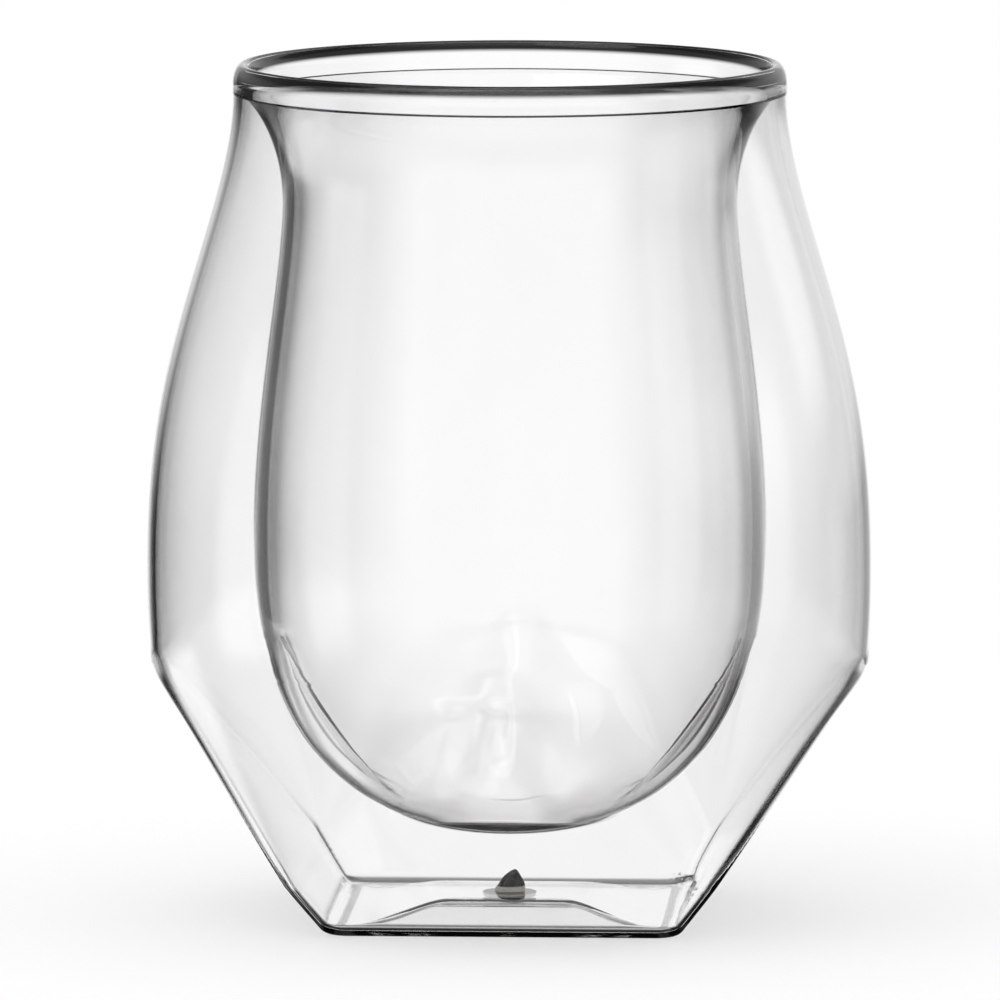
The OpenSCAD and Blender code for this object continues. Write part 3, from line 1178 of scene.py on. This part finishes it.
@dataclass
class Studio:
    """Bright-field studio: white table, white panels in a dark surround, soft lamp and camera.

    The heights of the surround are in degrees over the horizon, and other lengths in metres.

    Attributes:
        floor_r: Radius of the round white table.
        floor_t: Thickness of the table.
        floor_rings: Rows of its top.
        floor_around: Its columns.
        floor_albedo: Share of the light that the table gives back, the rest being a glow.
        panels: White panels behind the glass for each side that it is looked at from, one behind
            the camera, and dimmer ones that soften the edges.
        low_level: Brightness of the surround below the horizon.
        side_level: Brightness above the horizon on the left and on the right.
        side_blend: Sideways reach over which the left one goes over to the right one.
        side_rise: Heights between which the surround goes from low_level to side_level.
        band: Heights of the dark band over the panels: start, full, full, end.
        band_level: Brightness of that band.
        top_level: Brightness overhead.
        under: Heights between which the surround goes over to the table straight below.
        under_level: Brightness of that part of the table.
        camera_m: Distance of the camera from the axis.
        camera_up: Height of the camera above the table.
        camera_turn: Turn of the camera round the axis, in degrees.
        aim: Point that the camera looks at: shift to the right, and height.
        lens: Focal length in millimetres.
        sensor: Width of the sensor in millimetres.
        clip: Nearest and farthest distance that the camera sees.
        lamp_at: Place of the lamp.
        lamp_size: Width of the lamp.
        lamp_power: Power of the lamp in watts.
        glass_bounces: Faces of glass that light may pass.
        other_bounces: Times that light may be mirrored or pass a see-through face.
    """

    floor_r: float = 0.22
    floor_t: float = 2.0 * MM
    floor_rings: int = 12
    floor_around: int = 128
    floor_albedo: float = 0.45
    panels: tuple[Panel, ...] = (
        Panel(-1.5, (8.0, 20.0), (-15.0, -25.0), (10.0, 20.0)),
        Panel(-90.0, (8.0, 20.0), (-15.0, -25.0), (10.0, 20.0)),
        Panel(-45.0, (9.0, 20.0), (-34.0, -42.0), (-17.0, -11.0)),
        Panel(135.0, (9.0, 20.0), (-24.0, -32.0), (-6.0, 6.0)),
        Panel(180.0, (45.0, 80.0), (-34.0, -58.0), (25.0, 45.0)),
        Panel(32.0, (16.0, 32.0), (-10.0, -18.0), (15.0, 30.0), 0.34),
        Panel(26.0, (12.0, 28.0), (-1.0, -8.0), (38.0, 58.0), 0.75),
        Panel(-13.0, (7.0, 15.0), (0.0, -7.0), (12.0, 24.0), 0.65),
    )
    low_level: float = 0.02
    side_level: tuple[float, float] = (0.50, 0.80)
    side_blend: float = 0.3
    side_rise: tuple[float, float] = (-6.0, 8.0)
    band: tuple[float, float, float, float] = (12.0, 22.0, 48.0, 62.0)
    band_level: float = 0.25
    top_level: float = 0.85
    under: tuple[float, float] = (-60.0, -75.0)
    under_level: float = 0.7
    camera_m: float = 1.578
    camera_up: float = 0.233
    camera_turn: float = 3.0
    aim: tuple[float, float] = (-1.1 * MM, 46.3 * MM)
    lens: float = 515.0
    sensor: float = 36.0
    clip: tuple[float, float] = (0.01, 20.0)
    lamp_at: tuple[float, float, float] = (-0.5, -0.4, 1.2)
    lamp_size: float = 0.8
    lamp_power: float = 1.5
    glass_bounces: int = 32
    other_bounces: int = 16

    def camera(self) -> bpy.types.Object:
        """Place the camera at the photograph's height, distance and turn.

        Returns:
            The camera, set as the scene's.
        """
        turn = math.radians(self.camera_turn)
        right = Vector((math.cos(turn), math.sin(turn), 0.0))
        target = right * self.aim[0] + Vector((0.0, 0.0, self.aim[1]))
        away = Vector((math.sin(turn), -math.cos(turn), 0.0))
        data = bpy.data.cameras.new("camera")
        data.lens = self.lens
        data.sensor_width = self.sensor
        data.clip_start, data.clip_end = self.clip
        made = bpy.data.objects.new("camera", data)
        made.location = target + away * self.camera_m + Vector((0.0, 0.0, self.camera_up - self.aim[1]))
        made.rotation_mode = "QUATERNION"
        made.rotation_quaternion = (target - made.location).to_track_quat("-Z", "Y")
        bpy.context.scene.collection.objects.link(made)
        bpy.context.scene.camera = made
        return made

    def floor(self) -> bpy.types.Object:
        """Make the round white table, which is white to the camera and takes a faint shadow.

        Returns:
            The table.
        """
        radius = np.linspace(0.0, self.floor_r, self.floor_rings)
        angles = side_angles(self.floor_around, pull=0.0)
        top = turned(radius, np.zeros_like(radius), angles)
        edge = turned(np.array([self.floor_r, 0.0]), np.full(2, -self.floor_t), angles)
        made = bpy.data.materials.new("white_table")
        made.use_nodes = True
        nodes = Nodes(made.node_tree)
        leave = nodes.add("OutputMaterial")
        paper = nodes.add("BsdfDiffuse")
        paper.inputs["Color"].default_value = (*[self.floor_albedo] * 3, 1.0)
        glow = nodes.add("Emission")
        path = nodes.add("LightPath")
        bent = self.bent(nodes, path)
        lit = nodes.math("MULTIPLY", path.outputs["Is Camera Ray"], 1.0 - self.floor_albedo)
        nodes.link(lit, glow.inputs["Strength"])
        table = nodes.add("AddShader")
        nodes.link(paper.outputs[0], table.inputs[0])
        nodes.link(glow.outputs[0], table.inputs[1])
        clear = nodes.add("BsdfTransparent")
        pick = nodes.add("MixShader")
        nodes.link(bent, pick.inputs["Fac"])
        nodes.link(table.outputs[0], pick.inputs[1])
        nodes.link(clear.outputs[0], pick.inputs[2])
        nodes.link(pick.outputs[0], leave.inputs["Surface"])
        piece = surface_object("white_table", np.concatenate([top, edge])[::-1], Ends.POLES, (made,))
        return piece

    @staticmethod
    def bent(nodes: Nodes, path: bpy.types.Node) -> bpy.types.NodeSocket:
        """Tell the light that the camera sees through the glass or mirrored in it.

        Args:
            nodes: Nodes of the table or the world.
            path: Their Light Path node.

        Returns:
            The socket, 1 for such light and 0 for any other.
        """
        mirrored, passed = path.outputs["Is Glossy Ray"], path.outputs["Is Transmission Ray"]
        unscattered = nodes.math("LESS_THAN", path.outputs["Diffuse Depth"], 0.5)
        return nodes.math("MULTIPLY", nodes.math("MAXIMUM", mirrored, passed), unscattered)

    def panel_mask(
        self, nodes: Nodes, panel: Panel, turn: bpy.types.NodeSocket, rise: bpy.types.NodeSocket
    ) -> bpy.types.NodeSocket:
        """Socket that is 1 on a panel and falls smoothly to 0 past its edges.

        Args:
            nodes: Nodes of the world.
            panel: The panel.
            turn: Direction of the ray round the axis, in degrees.
            rise: Height of the ray over the horizon, in degrees.

        Returns:
            The socket.
        """
        apart = nodes.math("WRAP", nodes.math("SUBTRACT", turn, panel.turn), 180.0, -180.0)
        wide = nodes.ramp(nodes.math("ABSOLUTE", apart), panel.wide[::-1])
        over_low = nodes.ramp(rise, panel.low[::-1])
        under_high = nodes.ramp(rise, panel.high[::-1])
        return nodes.math("MULTIPLY", wide, nodes.math("MULTIPLY", over_low, under_high))

    def world(self) -> bpy.types.World:
        """Make the surround: white to the camera and to the table, and panels to the glass.

        A white panel stands where the glass is looked at from, so straight through it the ground
        stays white. Light that the glass bends far comes from beside, below or above a panel and
        draws the dark edges.

        Returns:
            The world, set as the scene's.
        """
        made = bpy.data.worlds.new("studio")
        made.use_nodes = True
        nodes = Nodes(made.node_tree)
        leave = nodes.add("OutputWorld")
        ground = nodes.add("Background")
        place = nodes.add("TexCoord")
        split = nodes.add("SeparateXYZ")
        nodes.link(place.outputs["Generated"], split.inputs[0])
        degrees = 180.0 / math.pi
        x, y, z = split.outputs
        turn = nodes.math("MULTIPLY", nodes.math("ARCTAN2", x, y), degrees)
        rise = nodes.math("MULTIPLY", nodes.math("ARCSINE", z), degrees)
        left, right = self.side_level
        across = nodes.ramp(x, (-self.side_blend, self.side_blend))
        side = nodes.math("MULTIPLY_ADD", across, right - left, left)
        lift = nodes.ramp(rise, self.side_rise)
        over = nodes.math("SUBTRACT", side, self.low_level)
        level = nodes.math("MULTIPLY_ADD", over, lift, self.low_level)
        start, full, last, end = self.band
        path = nodes.add("LightPath")
        passed = path.outputs["Is Transmission Ray"]
        below = nodes.math("MULTIPLY", nodes.ramp(rise, self.under), passed)
        steps = (
            (nodes.ramp(rise, (start, full)), self.band_level),
            (nodes.ramp(rise, (last, end)), self.top_level),
            (below, self.under_level),
        )
        for share, goal in steps:
            level = nodes.math("MULTIPLY_ADD", nodes.math("SUBTRACT", goal, level), share, level)
        for panel in self.panels:
            shown = nodes.math("MULTIPLY", self.panel_mask(nodes, panel, turn, rise), panel.level)
            level = nodes.math("MAXIMUM", level, shown)
        gap = nodes.math("MULTIPLY", self.bent(nodes, path), nodes.math("SUBTRACT", 1.0, level))
        nodes.link(nodes.math("SUBTRACT", 1.0, gap), ground.inputs["Strength"])
        ground.inputs["Color"].default_value = (1.0, 1.0, 1.0, 1.0)
        nodes.link(ground.outputs[0], leave.inputs["Surface"])
        bpy.context.scene.world = made
        return made

    def lamp(self) -> bpy.types.Object:
        """Hang a large soft lamp high on the left, which gives the shadow its side.

        Returns:
            The lamp.
        """
        data = bpy.data.lights.new("soft_lamp", "AREA")
        data.shape = "DISK"
        data.size = self.lamp_size
        data.energy = self.lamp_power
        made = bpy.data.objects.new("soft_lamp", data)
        made.location = self.lamp_at
        made.rotation_mode = "QUATERNION"
        made.rotation_quaternion = (-Vector(made.location)).to_track_quat("-Z", "Y")
        bpy.context.scene.collection.objects.link(made)
        return made

    def set_up(self) -> None:
        """Make the whole studio and let light pass through many faces of glass."""
        scene = bpy.context.scene
        self.camera()
        self.floor()
        self.world()
        self.lamp()
        scene.view_settings.view_transform = "Standard"
        scene.cycles.max_bounces = self.glass_bounces
        scene.cycles.transmission_bounces = self.glass_bounces
        scene.cycles.glossy_bounces = self.other_bounces
        scene.cycles.transparent_max_bounces = self.other_bounces


def main() -> None:
    """Build the glass and its studio, and report each piece."""
    logging.basicConfig(level=logging.INFO, format="%(message)s")
    Studio().set_up()
    surface = BlownSurface().group()
    weld = weld_material()
    shell = OuterShell.from_frame()
    bowl = DrinkingBowl.from_frame()
    bowl_glass = GlassFinish("bowl_glass", tint=(0.998, 0.995, 0.997), dulled=(0.993, 0.990, 0.992))
    pieces = [
        shell.build(GlassFinish("shell_glass").material(surface), weld),
        bowl.build(bowl_glass.material(surface), weld),
        RimBead.from_frame(shell, bowl).build(GlassFinish("rim_glass").material(surface), weld),
        VentSeal.from_frame().build(SiliconeFinish("seal_silicone").material(surface)),
    ]
    for piece in pieces:
        log.info("%s: %d faces", piece.name, len(piece.data.polygons))


if __name__ == "__main__":
    main()
